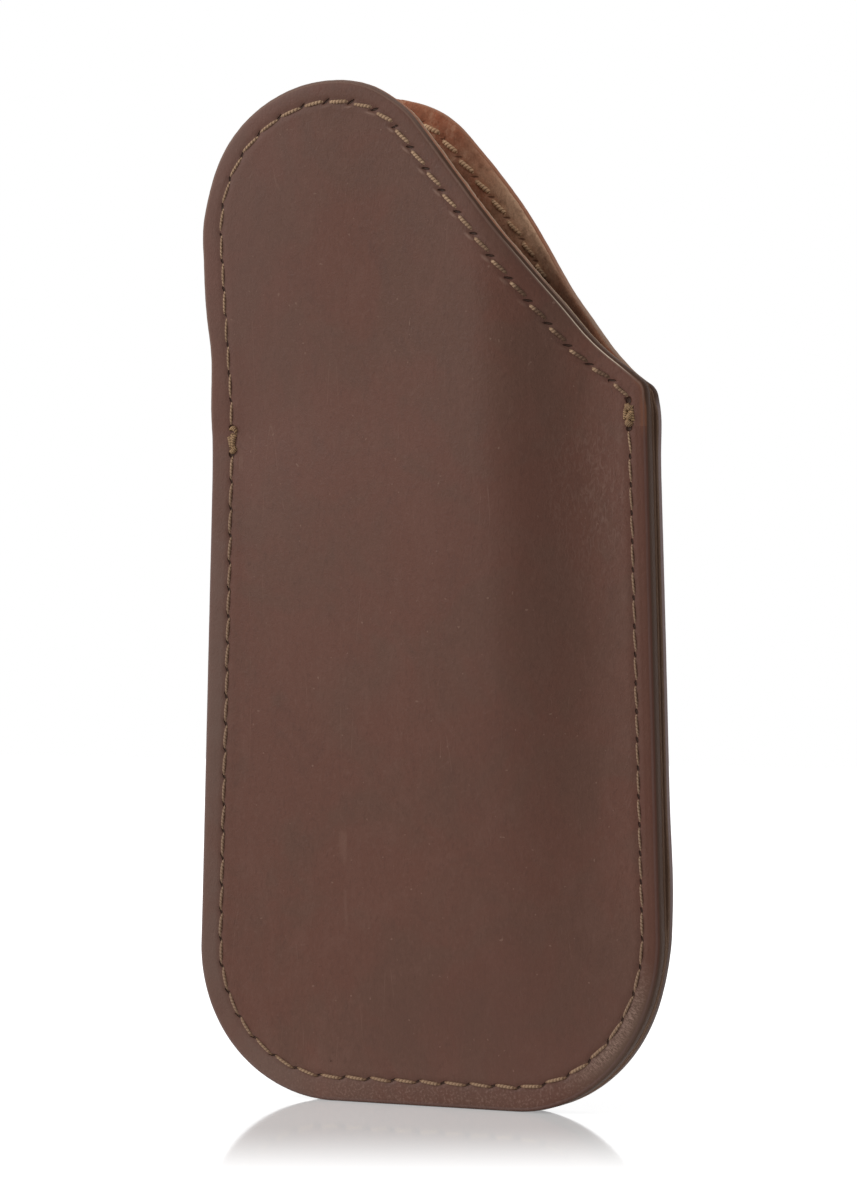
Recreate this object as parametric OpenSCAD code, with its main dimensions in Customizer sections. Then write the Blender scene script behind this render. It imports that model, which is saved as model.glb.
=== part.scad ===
// Slip case for one pen: two lined leather panels sewn together down both
// sides and round the bottom.  The mouth is cut on a slope, from a round tab
// on the left down to a shoulder on the right, and above the seam each
// panel's lip is free and carries its own row of edge stitching.
//
// Millimetres.  +Z is up and the case stands on its flat bottom edge; the
// front faces -Y and the origin is the middle of the bottom edge.

/* [Panel] */
// Height from the bottom edge to the top of the tab
case_height = 174.8; // [165:0.1:190]
// Width across the foot of the sides
case_width = 86.5; // [80:0.1:96]
// Lean of the left side towards the tab, in degrees
left_lean = 1.5; // [0:0.05:3]
// Lean of the right side towards the shoulder, in degrees
right_lean = 1.5; // [0:0.05:3]
// Width of the bottom left corner
left_corner_width = 25.9; // [15:0.1:30]
// Height of the bottom left corner
left_corner_height = 26; // [15:0.5:40]
// Width of the bottom right corner
right_corner_width = 26.4; // [15:0.1:30]
// Height of the bottom right corner
right_corner_height = 30; // [15:0.5:45]

/* [Mouth] */
// Radius of the tab's round top
tab_radius = 25.8; // [22:0.1:28]
// Radius that turns the tab into the slope
tab_blend_radius = 17.3; // [10:0.1:22]
// Place on the tab, in degrees above level, where that turn starts
tab_blend_start = 75; // [65:1:85]
// Steepness of the mouth's slope, in degrees
slope_angle = 52.4; // [48:0.2:58]
// Height of the shoulder's corner
shoulder_height = 121.8; // [112:0.2:130]
// Steepness of the slope's foot at the shoulder, in degrees
shoulder_angle = 38; // [30:0.2:42]
// Radius of the hollow curve between the two slopes
sweep_radius = 30; // [10:1:45]
// Radius of the shoulder's corner
shoulder_radius = 3.2; // [1:0.1:5]

/* [Leather] */
// Thickness of the outer leather
leather_thickness = 2.4; // [1.2:0.1:3]
// Thickness of the suede lining
lining_thickness = 1; // [0.6:0.1:1.6]
// Bevel along the outer leather's edge
edge_bevel = 0.4; // [0.1:0.05:0.8]
// Distance that the lining's edge stands back from the leather's
lining_set_back = 0.2; // [0.1:0.05:0.6]

/* [Pocket] */
// How far each panel stands out of the seam's plane at the pen
pocket_swell = 7.5; // [4:0.1:9]
// Width of the steep fall from the pen to the right seam
right_fall_width = 19; // [14:0.5:30]
// Width of the gentle rise from the left seam to the pen
left_rise_width = 51; // [30:1:60]
// Height at which the pocket starts to swell
swell_foot = 6; // [5:0.5:15]
// Height at which the pocket is fully swollen
swell_full = 131; // [90:1:140]
// How softly the panel lifts off the left seam
lift_softness = 2; // [0.5:0.1:4]
// Flat leather between the stitches and the left fold
left_fold_margin = 1; // [0:0.1:3]
// Flat leather between the stitches and the right fold
right_fold_margin = 2.5; // [0:0.1:4]

/* [Stitching] */
// Height at which the left seam ends
left_seam_top = 114; // [90:1:125]
// Height at which the right seam ends
right_seam_top = 117; // [90:1:118]
// Distance from the edge to the stitches, along the mouth
mouth_stitch_margin = 3.7; // [3:0.1:5]
// Distance from the edge to the stitches, along the right side
right_stitch_margin = 3.1; // [2.6:0.1:5]
// Distance from the edge to the stitches, along the left side and the foot
left_stitch_margin = 4.2; // [3:0.1:5]
// Distance from one stitch to the next
stitch_pitch = 4.7; // [3.5:0.1:6]
// Bare leather between the ends of two stitches
stitch_gap = 0.6; // [0.2:0.1:1]
// Width of the thread
thread_width = 0.9; // [0.6:0.05:1.4]
// Slant of each stitch across its row, in degrees
stitch_slant = 7; // [0:1:15]
// Crossing angle of the doubled stitches at a seam's end, in degrees
tack_cross = 11; // [4:1:16]
// Thickness of the doubled thread against a single one
tack_bulk = 1.25; // [1:0.05:1.6]

/* [Hidden] */

leather_colour = [0.39, 0.28, 0.25];
suede_colour = [0.47, 0.31, 0.23];
thread_colour = [0.62, 0.50, 0.34];

panel_thickness = leather_thickness + lining_thickness;
half_width = case_width / 2;

// Steps along each stretch of the two edges; both edges have the same sum.
corner_steps = 9;
left_side_steps = 17;
tab_steps = 10;
right_side_steps = 10;
shoulder_steps = 4;
foot_steps = 1;
sweep_steps = 3;
slope_steps = 5;
blend_steps = 3;
tab_end_steps = 1;
row_count = corner_steps + left_side_steps + tab_steps;
column_count = 26;
tab_top_half = 2;       // half of the tab's level top, in degrees
thread_facets = 20;

function smooth(t) = let (s = min(max(t, 0), 1)) s * s * (3 - 2 * s);
function mix(a, b, t) = a + (b - a) * t;
function heading(a) = [cos(a), sin(a)];
function meet(p, d, q, e) = p + d * cross(q - p, e) / cross(d, e);
function last(list) = list[len(list) - 1];

// An arc and a straight, each without its first point.
function arc(centre, rx, ry, from, to, steps) =
    [for (i = [1:steps]) let (a = mix(from, to, i / steps))
        centre + [rx * cos(a), ry * sin(a)]];
function straight(from, to, steps) = [for (i = [1:steps]) mix(from, to, i / steps)];

// ---- outline, in the panel's own plane: x across, y up ----

// The tab's circle touches the leaning left side.
tab_centre_y = case_height - tab_radius;
tab_touch_y = tab_centre_y + tab_radius * sin(left_lean);
tab_touch = [-half_width + (tab_touch_y - left_corner_height) * tan(left_lean), tab_touch_y];
tab_centre = [tab_touch.x + tab_radius * cos(left_lean), tab_centre_y];

blend_centre = tab_centre + (tab_radius - tab_blend_radius) * heading(tab_blend_start);
slope_normal = 90 - slope_angle;
shoulder_normal = 90 - shoulder_angle;
slope_top = blend_centre + tab_blend_radius * heading(slope_normal);

shoulder = [half_width - (shoulder_height - right_corner_height) * tan(right_lean),
            shoulder_height];
side_up = heading(90 + right_lean);
foot_up = heading(180 - shoulder_angle);
slope_up = heading(180 - slope_angle);
shoulder_trim = shoulder_radius * tan((90 - shoulder_angle - right_lean) / 2);
shoulder_start = shoulder - side_up * shoulder_trim;
shoulder_end = shoulder + foot_up * shoulder_trim;
shoulder_centre = shoulder_start - shoulder_radius * heading(right_lean);

slopes_meet = meet(slope_top, slope_up, shoulder, foot_up);
sweep_trim = sweep_radius * tan((slope_angle - shoulder_angle) / 2);
sweep_start = slopes_meet - foot_up * sweep_trim;
sweep_end = slopes_meet + slope_up * sweep_trim;
sweep_centre = sweep_start + sweep_radius * heading(shoulder_normal);

left_corner_centre = [-half_width + left_corner_width, left_corner_height];
right_corner_centre = [half_width - right_corner_width, right_corner_height];

left_edge = concat(
    [[left_corner_centre.x, 0]],
    arc(left_corner_centre, left_corner_width, left_corner_height, 270, 180, corner_steps),
    straight([-half_width, left_corner_height], tab_touch, left_side_steps),
    arc(tab_centre, tab_radius, tab_radius, 180 - left_lean, 90 + tab_top_half, tab_steps));

right_edge = concat(
    [[right_corner_centre.x, 0]],
    arc(right_corner_centre, right_corner_width, right_corner_height, 270, 360, corner_steps),
    straight([half_width, right_corner_height], shoulder_start, right_side_steps),
    arc(shoulder_centre, shoulder_radius, shoulder_radius, right_lean, shoulder_normal,
        shoulder_steps),
    straight(shoulder_end, sweep_start, foot_steps),
    arc(sweep_centre, sweep_radius, sweep_radius, 180 + shoulder_normal,
        180 + slope_normal, sweep_steps),
    straight(sweep_end, slope_top, slope_steps),
    arc(blend_centre, tab_blend_radius, tab_blend_radius, slope_normal, tab_blend_start,
        blend_steps),
    arc(tab_centre, tab_radius, tab_radius, tab_blend_start, 90 - tab_top_half,
        tab_end_steps));

// Unit vector from an edge point into the panel; turn is 1 on the left edge
// and -1 on the right one.
function inward(edge, i, turn) =
    i == 0 ? [0, 1] :
    i == row_count ? [0, -1] :
    let (along = edge[i + 1] - edge[i - 1])
    turn * [along.y, -along.x] / norm(along);
function set_in(edge, turn, inset) =
    [for (i = [0:row_count]) edge[i] + inset * inward(edge, i, turn)];

// ---- swelling of the pocket ----

// Rises in proportion to t, then rounds off to 1.
cap_blend = 0.3;
function capped(t) =
    t < 1 - cap_blend ? t :
    t > 1 + cap_blend ? 1 :
    1 - pow(1 + cap_blend - t, 2) / (4 * cap_blend);

foot_power = 1.2;
function left_side_x(y) = -half_width + (y - left_corner_height) * tan(left_lean);
function right_side_x(y) = half_width - (y - right_corner_height) * tan(right_lean);

// Distance that the panel stands out of the seam's plane at a point p.
function swell(p) =
    let (across = max(p.x - left_side_x(p.y) - left_stitch_margin - left_fold_margin, 0),
         above = max(p.y - left_seam_top, 0),
         from_left = norm([across, above]),
         lifted = norm([from_left, lift_softness]) - lift_softness,
         from_right = right_side_x(p.y) - right_stitch_margin - right_fold_margin - p.x,
         climb = min(max((p.y - swell_foot) / (swell_full - swell_foot), 0), 1))
    pocket_swell * pow(sin(90 * climb), foot_power)
        * capped(lifted / left_rise_width) * smooth(from_right / right_fall_width);

// Upward slope of the swelling at p, across and up.
probe = 0.5;
function swell_slope(p) =
    [swell(p + [probe, 0]) - swell(p - [probe, 0]),
     swell(p + [0, probe]) - swell(p - [0, probe])] / (2 * probe);

// ---- sheets of leather ----

// Points of one face: rows from the left edge to the right one, each a
// given height above the swelling.
function face_points(inset, height) =
    let (left = set_in(left_edge, 1, inset), right = set_in(right_edge, -1, inset))
    [for (i = [0:row_count], k = [0:column_count])
        let (p = mix(left[i], right[i], k / column_count)) [p.x, p.y, swell(p) + height]];

function at(i, k) = i * (column_count + 1) + k;
face_size = (row_count + 1) * (column_count + 1);

// The face's border, counter-clockwise from the bottom left.
border = concat(
    [for (k = [0:column_count]) at(0, k)],
    [for (i = [1:row_count]) at(i, column_count)],
    [for (k = [column_count - 1:-1:0]) at(row_count, k)],
    [for (i = [row_count - 1:-1:1]) at(i, 0)]);

function face_triangles(first, outside) =
    [for (i = [0:row_count - 1], k = [0:column_count - 1])
        let (a = first + at(i, k), b = first + at(i, k + 1),
             c = first + at(i + 1, k + 1), d = first + at(i + 1, k))
        each outside ? [[a, d, c], [a, c, b]] : [[a, c, d], [a, b, c]]];

// Wall between two loops of points, the first one nearer the outside.
function wall_triangles(upper, lower) =
    [for (i = [0:len(upper) - 1]) let (j = (i + 1) % len(upper))
        each [[upper[i], upper[j], lower[j]], [upper[i], lower[j], lower[i]]]];

// A sheet between two heights above the swelling, with its outer edge
// bevelled when bevel is more than 0.
module sheet(low, high, set_back, bevel) {
    outer = face_points(set_back + bevel, high);
    inner = face_points(set_back, low);
    rim_face = face_points(set_back, high - bevel);
    rim = [for (b = border) rim_face[b]];
    rim_loop = [for (n = [0:len(border) - 1]) 2 * face_size + n];
    outer_loop = border;
    inner_loop = [for (b = border) face_size + b];
    walls = bevel > 0
        ? concat(wall_triangles(outer_loop, rim_loop), wall_triangles(rim_loop, inner_loop))
        : wall_triangles(outer_loop, inner_loop);
    polyhedron(
        points = bevel > 0 ? concat(outer, inner, rim) : concat(outer, inner),
        faces = concat(face_triangles(0, true), face_triangles(face_size, false), walls));
}

// Stands a panel's own plane upright: as the front panel, or as the back one.
module front() { rotate([90, 0, 0]) children(); }
module back() { mirror([0, 1, 0]) rotate([90, 0, 0]) children(); }

// ---- stitches ----

// Once round the panel at the stitches' distance from its edge: down the
// right side from the tab's top, along the bottom and up the left side.
margin_blend = 5;       // steps over which the margin changes along a side
sweep_last = corner_steps + right_side_steps + shoulder_steps + foot_steps + sweep_steps;
tab_first = corner_steps + left_side_steps;
function right_margin_at(i) =
    i < sweep_last - margin_blend ?
        mix(left_stitch_margin, right_stitch_margin, smooth(i / corner_steps)) :
        mix(right_stitch_margin, mouth_stitch_margin, smooth((i - sweep_last) / margin_blend + 1));
function left_margin_at(i) =
    mix(left_stitch_margin, mouth_stitch_margin, smooth((i - tab_first) / margin_blend + 1));
stitch_line = concat(
    [for (i = [row_count:-1:0]) right_edge[i] + right_margin_at(i) * inward(right_edge, i, -1)],
    [for (i = [0:row_count]) left_edge[i] + left_margin_at(i) * inward(left_edge, i, 1)]);
function running_lengths(line, i = 0, sum = 0) =
    i == len(line) - 1 ? [sum] :
    concat([sum], running_lengths(line, i + 1, sum + norm(line[i + 1] - line[i])));
stitch_lengths = running_lengths(stitch_line);
round_length = last(stitch_lengths);

// The point at a distance along the stitch line, which closes on itself.
function on_line(distance) =
    let (s = distance - round_length * floor(distance / round_length),
         i = min(len([for (l = stitch_lengths) if (l <= s) l]), len(stitch_line) - 1) - 1,
         part = (s - stitch_lengths[i]) / (stitch_lengths[i + 1] - stitch_lengths[i]))
    mix(stitch_line[i], stitch_line[i + 1], part);

// Where the line passes a height, on its right half and on its left half.
half_count = row_count + 1;
function crossing(height, first, rising) =
    let (hits = [for (i = [first:first + row_count - 1])
            let (a = stitch_line[i].y, b = stitch_line[i + 1].y)
            if (rising ? a <= height && b > height : a > height && b <= height)
                mix(stitch_lengths[i], stitch_lengths[i + 1], (height - a) / (b - a))])
    hits[0];
right_seam_end = crossing(right_seam_top, 0, false);
left_seam_end = crossing(left_seam_top, half_count, true);
lip_end = right_seam_end + round_length;

// Half-round stitch lying along X on the XY plane, thinner at both ends
// where it dives into the leather.
end_thinning = 0.6;     // width of a stitch's end against its middle
module stitch(length, width) {
    taper = min(width, length / 3);
    radius = width / 2;
    end_radius = radius * end_thinning;
    rotate([0, 90, 0]) rotate([0, 0, 90]) rotate_extrude(angle = 180, $fn = thread_facets)
        polygon([[0, -length / 2], [end_radius, -length / 2], [radius, -length / 2 + taper],
                 [radius, length / 2 - taper], [end_radius, length / 2], [0, length / 2]]);
}

// Lays its child along the stitch line from one distance to another, on the
// surface that is height above the swelling, facing out or into the pocket.
// It rests on the surface at its middle or at its ends, whichever stands out.
module lay(from, to, height, outwards) {
    start = on_line(from);
    end = on_line(to);
    middle = (start + end) / 2;
    turn = atan2(end.y - start.y, end.x - start.x);
    at_ends = (swell(start) + swell(end)) / 2;
    at_middle = swell(middle);
    seat = outwards ? max(at_ends, at_middle) : min(at_ends, at_middle);
    pitch = atan((swell(end) - swell(start)) / norm(end - start));
    roll = atan(swell_slope(middle) * heading(turn + 90));
    translate([middle.x, middle.y, seat + height])
        rotate([0, 0, turn]) rotate([0, -pitch, 0]) rotate([roll + (outwards ? 0 : 180), 0, 0])
            children();
}

// A row of evenly spread stitches between two distances along the line.
module stitch_row(from, to, height, outwards) {
    count = round((to - from) / stitch_pitch);
    pitch = (to - from) / count;
    for (n = [0:count - 1])
        lay(from + n * pitch, from + (n + 1) * pitch, height, outwards)
            rotate([0, 0, stitch_slant]) stitch(pitch - stitch_gap, thread_width);
}

// The free lip's row starts and ends one stitch above the seam's backtacks.
module lip_row(height, outwards) {
    stitch_row(left_seam_end + stitch_pitch / 2, lip_end - stitch_pitch / 2, height, outwards);
}

// The seam's row runs from one backtack to the other.
module seam_row() {
    stitch_row(right_seam_end + stitch_pitch / 2, left_seam_end - stitch_pitch / 2,
               panel_thickness, true);
}

// Doubled stitches over the end of the seam: two, crossed.
module backtack(end) {
    lay(end - stitch_pitch / 2, end + stitch_pitch / 2, panel_thickness, true)
        union() {
            for (side = [-1, 1])
                rotate([0, 0, side * tack_cross])
                    stitch(stitch_pitch - stitch_gap, thread_width * tack_bulk);
        }
}

// ---- pieces ----

module leather_sheet() {
    color(leather_colour)
        sheet(lining_thickness, panel_thickness, 0, edge_bevel);
}

module lining_sheet() {
    color(suede_colour) sheet(0, lining_thickness, lining_set_back, 0);
}

module front_shell() { front() leather_sheet(); }
module back_shell() { back() leather_sheet(); }
module front_lining() { front() lining_sheet(); }
module back_lining() { back() lining_sheet(); }

module seam_thread_front() { color(thread_colour) front() seam_row(); }
module seam_thread_back() { color(thread_colour) back() seam_row(); }

module front_lip_thread_outside() { color(thread_colour) front() lip_row(panel_thickness, true); }
module front_lip_thread_inside() { color(thread_colour) front() lip_row(0, false); }
module back_lip_thread_outside() { color(thread_colour) back() lip_row(panel_thickness, true); }
module back_lip_thread_inside() { color(thread_colour) back() lip_row(0, false); }

module left_backtack() {
    color(thread_colour) { front() backtack(left_seam_end); back() backtack(left_seam_end); }
}
module right_backtack() {
    color(thread_colour) { front() backtack(right_seam_end); back() backtack(right_seam_end); }
}

front_shell();
front_lining();
back_shell();
back_lining();
seam_thread_front();
seam_thread_back();
front_lip_thread_outside();
front_lip_thread_inside();
back_lip_thread_outside();
back_lip_thread_inside();
left_backtack();
right_backtack();
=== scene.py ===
import bmesh
import bpy
import math
import random
import numpy as np
from mathutils import Matrix, Vector, kdtree, noise


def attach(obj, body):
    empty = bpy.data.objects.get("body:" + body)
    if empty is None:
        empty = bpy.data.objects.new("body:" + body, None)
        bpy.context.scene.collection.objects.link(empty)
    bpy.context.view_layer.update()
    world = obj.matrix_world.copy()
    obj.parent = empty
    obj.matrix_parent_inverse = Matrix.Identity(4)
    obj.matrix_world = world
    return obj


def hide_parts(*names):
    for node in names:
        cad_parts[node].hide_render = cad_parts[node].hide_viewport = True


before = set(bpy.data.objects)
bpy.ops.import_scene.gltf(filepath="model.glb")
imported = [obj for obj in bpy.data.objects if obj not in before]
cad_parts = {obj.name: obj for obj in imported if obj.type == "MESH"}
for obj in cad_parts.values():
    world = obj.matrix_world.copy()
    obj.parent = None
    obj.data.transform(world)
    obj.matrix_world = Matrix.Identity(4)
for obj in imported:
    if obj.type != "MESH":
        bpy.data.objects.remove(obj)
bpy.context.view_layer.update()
print("frame loaded:", len(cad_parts), "nodes")

# Shapes are worked out in millimetres in a panel's own plane (x across, y up,
# z outward) and turned to metres in the case's frame by toWorld.
mm = 0.001

outline = {
    "height": 174.8,
    "width": 86.5,
    "leftLean": 1.5,            # of the two sides, in degrees
    "rightLean": 1.5,
    "leftCorner": (25.9, 26.0),     # width and height of the bottom corners
    "rightCorner": (26.4, 30.0),
    "tabRadius": 25.8,
    "blendRadius": 17.3,        # between the tab and the slope of the mouth
    "blendStart": 75.0,         # degrees round from the right
    "slope": 52.4,              # of the mouth, in degrees, and next to the shoulder
    "shoulderSlope": 38.0,
    "sweepRadius": 30.0,        # between those two slopes
    "shoulderHeight": 121.8,
    "shoulderRadius": 3.2,
    "mouthMargin": 3.7,         # edge to stitches along the mouth, right side, left side
    "rightMargin": 3.1,
    "leftMargin": 4.2,
    "leftMarginRun": 36.0,      # over which the tab's margin becomes the left side's
    "topFrom": 76.0,            # stretch of the tab's circle that closes the top of the grid
    "topTo": 120.0,
    "spacing": 0.1,             # between points of the edge
}


def heading(degrees):
    return np.array([math.cos(math.radians(degrees)), math.sin(math.radians(degrees))])


def tangent(degrees):
    return math.tan(math.radians(degrees))


def smooth(t):
    s = np.clip(t, 0.0, 1.0)
    return s * s * (3 - 2 * s)


def verySmooth(t):
    s = np.clip(t, 0.0, 1.0)
    return s ** 3 * (10 - 15 * s + 6 * s * s)


def meetingPoint(p, d, q, e):
    cross = lambda a, b: a[0] * b[1] - a[1] * b[0]
    return p + d * cross(q - p, e) / cross(d, e)


def pointLengths(points):
    steps = np.linalg.norm(np.diff(points, axis=0), axis=1)
    return np.concatenate([[0], np.cumsum(steps)])


def traceArc(centre, radius, start, end):
    # radius is one number, or a width and a height
    wide, high = np.ones(2) * radius
    count = max(4, int(abs(math.radians(end - start)) * max(wide, high) / outline["spacing"]))
    angles = np.radians(np.linspace(start, end, count + 1))[1:]
    return np.stack([centre[0] + wide * np.cos(angles), centre[1] + high * np.sin(angles)], 1)


def traceLine(start, end):
    count = max(2, int(np.linalg.norm(end - start) / outline["spacing"]))
    steps = np.linspace(0, 1, count + 1)[1:, None]
    return start + (end - start) * steps


def traceOutline():
    # Goes round counter-clockwise from the left end of the level foot, and
    # returns the points and the length reached at the end of each run.
    o = outline
    half, radius = o["width"] / 2, o["tabRadius"]
    leftWide, leftHigh = o["leftCorner"]
    rightWide, rightHigh = o["rightCorner"]
    leftCentre = np.array([-half + leftWide, leftHigh])
    rightCentre = np.array([half - rightWide, rightHigh])
    tabY = o["height"] - radius
    touchY = tabY + radius * heading(o["leftLean"])[1]
    touch = np.array([-half + (touchY - leftHigh) * tangent(o["leftLean"]), touchY])
    tabCentre = np.array([touch[0] + radius * heading(o["leftLean"])[0], tabY])
    blendCentre = tabCentre + (radius - o["blendRadius"]) * heading(o["blendStart"])
    slopeNormal, footNormal = 90 - o["slope"], 90 - o["shoulderSlope"]
    slopeTop = blendCentre + o["blendRadius"] * heading(slopeNormal)
    shoulder = np.array([half - (o["shoulderHeight"] - rightHigh) * tangent(o["rightLean"]),
                         o["shoulderHeight"]])
    footUp, slopeUp = heading(180 - o["shoulderSlope"]), heading(180 - o["slope"])
    trim = o["shoulderRadius"] * tangent((footNormal - o["rightLean"]) / 2)
    shoulderStart = shoulder - heading(90 + o["rightLean"]) * trim
    shoulderCentre = shoulderStart - o["shoulderRadius"] * heading(o["rightLean"])
    corner = meetingPoint(slopeTop, slopeUp, shoulder, footUp)
    sweepTrim = o["sweepRadius"] * tangent((o["slope"] - o["shoulderSlope"]) / 2)
    sweepStart = corner - footUp * sweepTrim
    sweepCentre = sweepStart + o["sweepRadius"] * heading(footNormal)
    footLeft = np.array([leftCentre[0], 0.0])
    runs = {
        "foot": traceLine(footLeft, np.array([rightCentre[0], 0.0])),
        "rightCorner": traceArc(rightCentre, o["rightCorner"], 270, 360),
        "rightSide": traceLine(np.array([half, rightHigh]), shoulderStart),
        "shoulder": traceArc(shoulderCentre, o["shoulderRadius"], o["rightLean"], footNormal),
        "slopeFoot": traceLine(shoulder + footUp * trim, sweepStart),
        "sweep": traceArc(sweepCentre, o["sweepRadius"], 180 + footNormal, 180 + slopeNormal),
        "slope": traceLine(corner + slopeUp * sweepTrim, slopeTop),
        "blend": traceArc(blendCentre, o["blendRadius"], slopeNormal, o["blendStart"]),
        "tabRight": traceArc(tabCentre, radius, o["blendStart"], o["topFrom"]),
        "tabTop": traceArc(tabCentre, radius, o["topFrom"], o["topTo"]),
        "tabLeft": traceArc(tabCentre, radius, o["topTo"], 180 - o["leftLean"]),
        "leftSide": traceLine(touch, np.array([-half, leftHigh])),
        "leftCorner": traceArc(leftCentre, o["leftCorner"], 180, 270),
    }
    points = np.concatenate([[footLeft], *runs.values()])
    lengths = pointLengths(points)
    ends, reached = {}, 0
    for name, run in runs.items():
        reached += len(run)
        ends[name] = lengths[reached]
    return points, lengths, ends


edgePoints, edgeLengths, runEnds = traceOutline()
edgeLength = edgeLengths[-1]
ahead = np.roll(edgePoints[:-1], -1, 0) - np.roll(edgePoints[:-1], 1, 0)
edgeInward = np.stack([-ahead[:, 1], ahead[:, 0]], 1) / np.linalg.norm(ahead, axis=1)[:, None]
edgeInward = np.concatenate([edgeInward, edgeInward[:1]])


def alongEdge(values, s):
    s = np.mod(s, edgeLength)
    return np.stack([np.interp(s, edgeLengths, column) for column in values.T], 1)


def edgeAt(s):
    # Points of the edge and the directions into the panel there.
    inward = alongEdge(edgeInward, s)
    return alongEdge(edgePoints, s), inward / np.linalg.norm(inward, axis=1)[:, None]


def stitchMarginAt(s):
    o, ends = outline, runEnds
    keys = [(0, o["leftMargin"]), (ends["foot"], o["leftMargin"]),
            (ends["rightCorner"], o["rightMargin"]), (ends["shoulder"], o["rightMargin"]),
            (ends["sweep"], o["mouthMargin"]), (ends["tabLeft"], o["mouthMargin"]),
            (ends["tabLeft"] + o["leftMarginRun"], o["leftMargin"]),
            (edgeLength, o["leftMargin"])]
    places, margins = np.array(keys).T
    i = np.clip(np.searchsorted(places, s, side="right") - 1, 0, len(keys) - 2)
    part = (s - places[i]) / (places[i + 1] - places[i])
    return margins[i] + (margins[i + 1] - margins[i]) * smooth(part)


# How far a panel stands out round the pen's place
pocket = {
    "swell": 7.5,
    "rightFall": 24.0,
    "leftRise": 51.0,
    "foot": 6.0,
    "full": 131.0,
    "softness": 2.0,
    "leftFold": 1.0,
    "rightFold": 2.5,
    "leftSeamTop": 114.0,
    "rightSeamTop": 117.0,
    "capBlend": 0.3,
    "footPower": 1.2,
    "drift": 0.16,              # slight unevenness of the set leather
    "driftSize": 21.0,
    "driftStretch": 0.7,        # its height as a share of its width
    "driftFrom": 1.5,           # swell from which it is full; it is none in the flat seam
}


def swellAt(points):
    p, o = pocket, outline
    x, y = points[:, 0], points[:, 1]
    leftX = -o["width"] / 2 + (y - o["leftCorner"][1]) * tangent(o["leftLean"])
    rightX = o["width"] / 2 - (y - o["rightCorner"][1]) * tangent(o["rightLean"])
    across = np.maximum(x - leftX - o["leftMargin"] - p["leftFold"], 0)
    above = np.maximum(y - p["leftSeamTop"], 0)
    lifted = np.hypot(np.hypot(across, above), p["softness"]) - p["softness"]
    t, blend = lifted / p["leftRise"], p["capBlend"]
    capped = np.where(t < 1 - blend, t,
                      np.where(t > 1 + blend, 1, 1 - (1 + blend - t) ** 2 / (4 * blend)))
    fall = verySmooth((rightX - o["rightMargin"] - p["rightFold"] - x) / p["rightFall"])
    climb = np.clip((y - p["foot"]) / (p["full"] - p["foot"]), 0, 1)
    return p["swell"] * np.sin(math.pi / 2 * climb) ** p["footPower"] * capped * fall


def standOut(points, seed):
    size, stretch = pocket["driftSize"], pocket["driftStretch"]
    rough = [noise.noise(Vector((x / size, y / size * stretch, seed))) for x, y in points]
    swell = swellAt(points)
    return swell + pocket["drift"] * np.array(rough) * smooth(swell / pocket["driftFrom"])


# The panels are cut and sewn by hand, so their edges and rows differ by a little: each
# trim or shift is (run of the outline, place along it from 0 to 1, reach, depth inwards).
panels = {
    "front": {"side": -1, "seed": 3.7,
              "trims": [("tabLeft", 0.72, 7.0, 0.33), ("leftSide", 0.0, 4.5, -0.25),
                        ("leftSide", 0.08, 9.0, -0.38), ("leftSide", 0.165, 5.0, 0.36),
                        ("leftSide", 0.255, 6.0, -0.27), ("leftCorner", 0.45, 14.0, -0.2),
                        ("blend", 0.5, 5.0, 0.36)],
              "rowShift": []},
    "back": {"side": 1, "seed": 11.2,
             "trims": [("rightCorner", 0.85, 9.0, 0.35), ("rightSide", 0.1, 9.0, -0.3),
                       ("rightSide", 0.5, 50.0, -0.22), ("rightSide", 0.968, 5.0, -0.5),
                       ("slopeFoot", 0.2, 6.5, 0.8), ("sweep", 0.9, 6.5, -0.55),
                       ("slope", 0.69, 14.0, -0.8), ("blend", 0.95, 8.5, 0.75)],
             "rowShift": [("slope", 0.58, 20.0, -1.35)]},
}


def trimAt(s, trims):
    names = list(runEnds)
    cut = np.zeros(len(s))
    for run, part, reach, depth in trims:
        start, end = runEnds[names[names.index(run) - 1]], runEnds[run]
        cut += depth * np.exp(-((s - start - (end - start) * part) / reach) ** 2)
    return cut


def toWorld(points, heights, side):
    # side is -1 for the front panel and 1 for the back one
    return np.stack([points[:, 0], side * heights, points[:, 1]], 1) * mm


# Stations round the rim, shared by the shown face, the rim's rings and the hidden face
grid = {
    "inset": 7.0,               # of the grid's border from the edge
    "straightTo": 3.0,          # distance up to which the rings run square to the edge
    "untangle": 160,            # turns of relaxing, over this reach round the shoulder
    "untangleReach": 15.0,
    "relax": 60,
    "ringGap": 0.12,            # least gap between the stitches' rings and the rim's
    "wellInside": 20.0,         # distance from the stitches given to the whole inner face
    "raggedWaves": (0.9, 4.0),  # lengths of the waves in a cut edge
    "raggedSewn": 0.3,          # share of them where the panels are sewn together
}


def layStations(columns, rows, trims):
    corners = [0, runEnds["foot"], runEnds["tabRight"], runEnds["tabTop"], edgeLength]
    counts = [columns, rows, columns, rows]
    s = np.concatenate([np.linspace(a, b, n + 1)[:-1]
                        for a, b, n in zip(corners[:-1], corners[1:], counts)])
    edge, inward = edgeAt(s)
    edge = edge + inward * trimAt(s, trims)[:, None]
    inner = edge + inward * grid["inset"]
    # Inside the tight shoulder the inner line crosses itself, so it is relaxed there.
    middle = (runEnds["rightSide"] + runEnds["shoulder"]) / 2
    near = np.abs(s - middle) < grid["untangleReach"]
    for turn in range(grid["untangle"]):
        relaxed = (np.roll(inner, 1, 0) + np.roll(inner, -1, 0)) / 2
        inner[near] = relaxed[near]
    return s, edge, inward, inner


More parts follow.
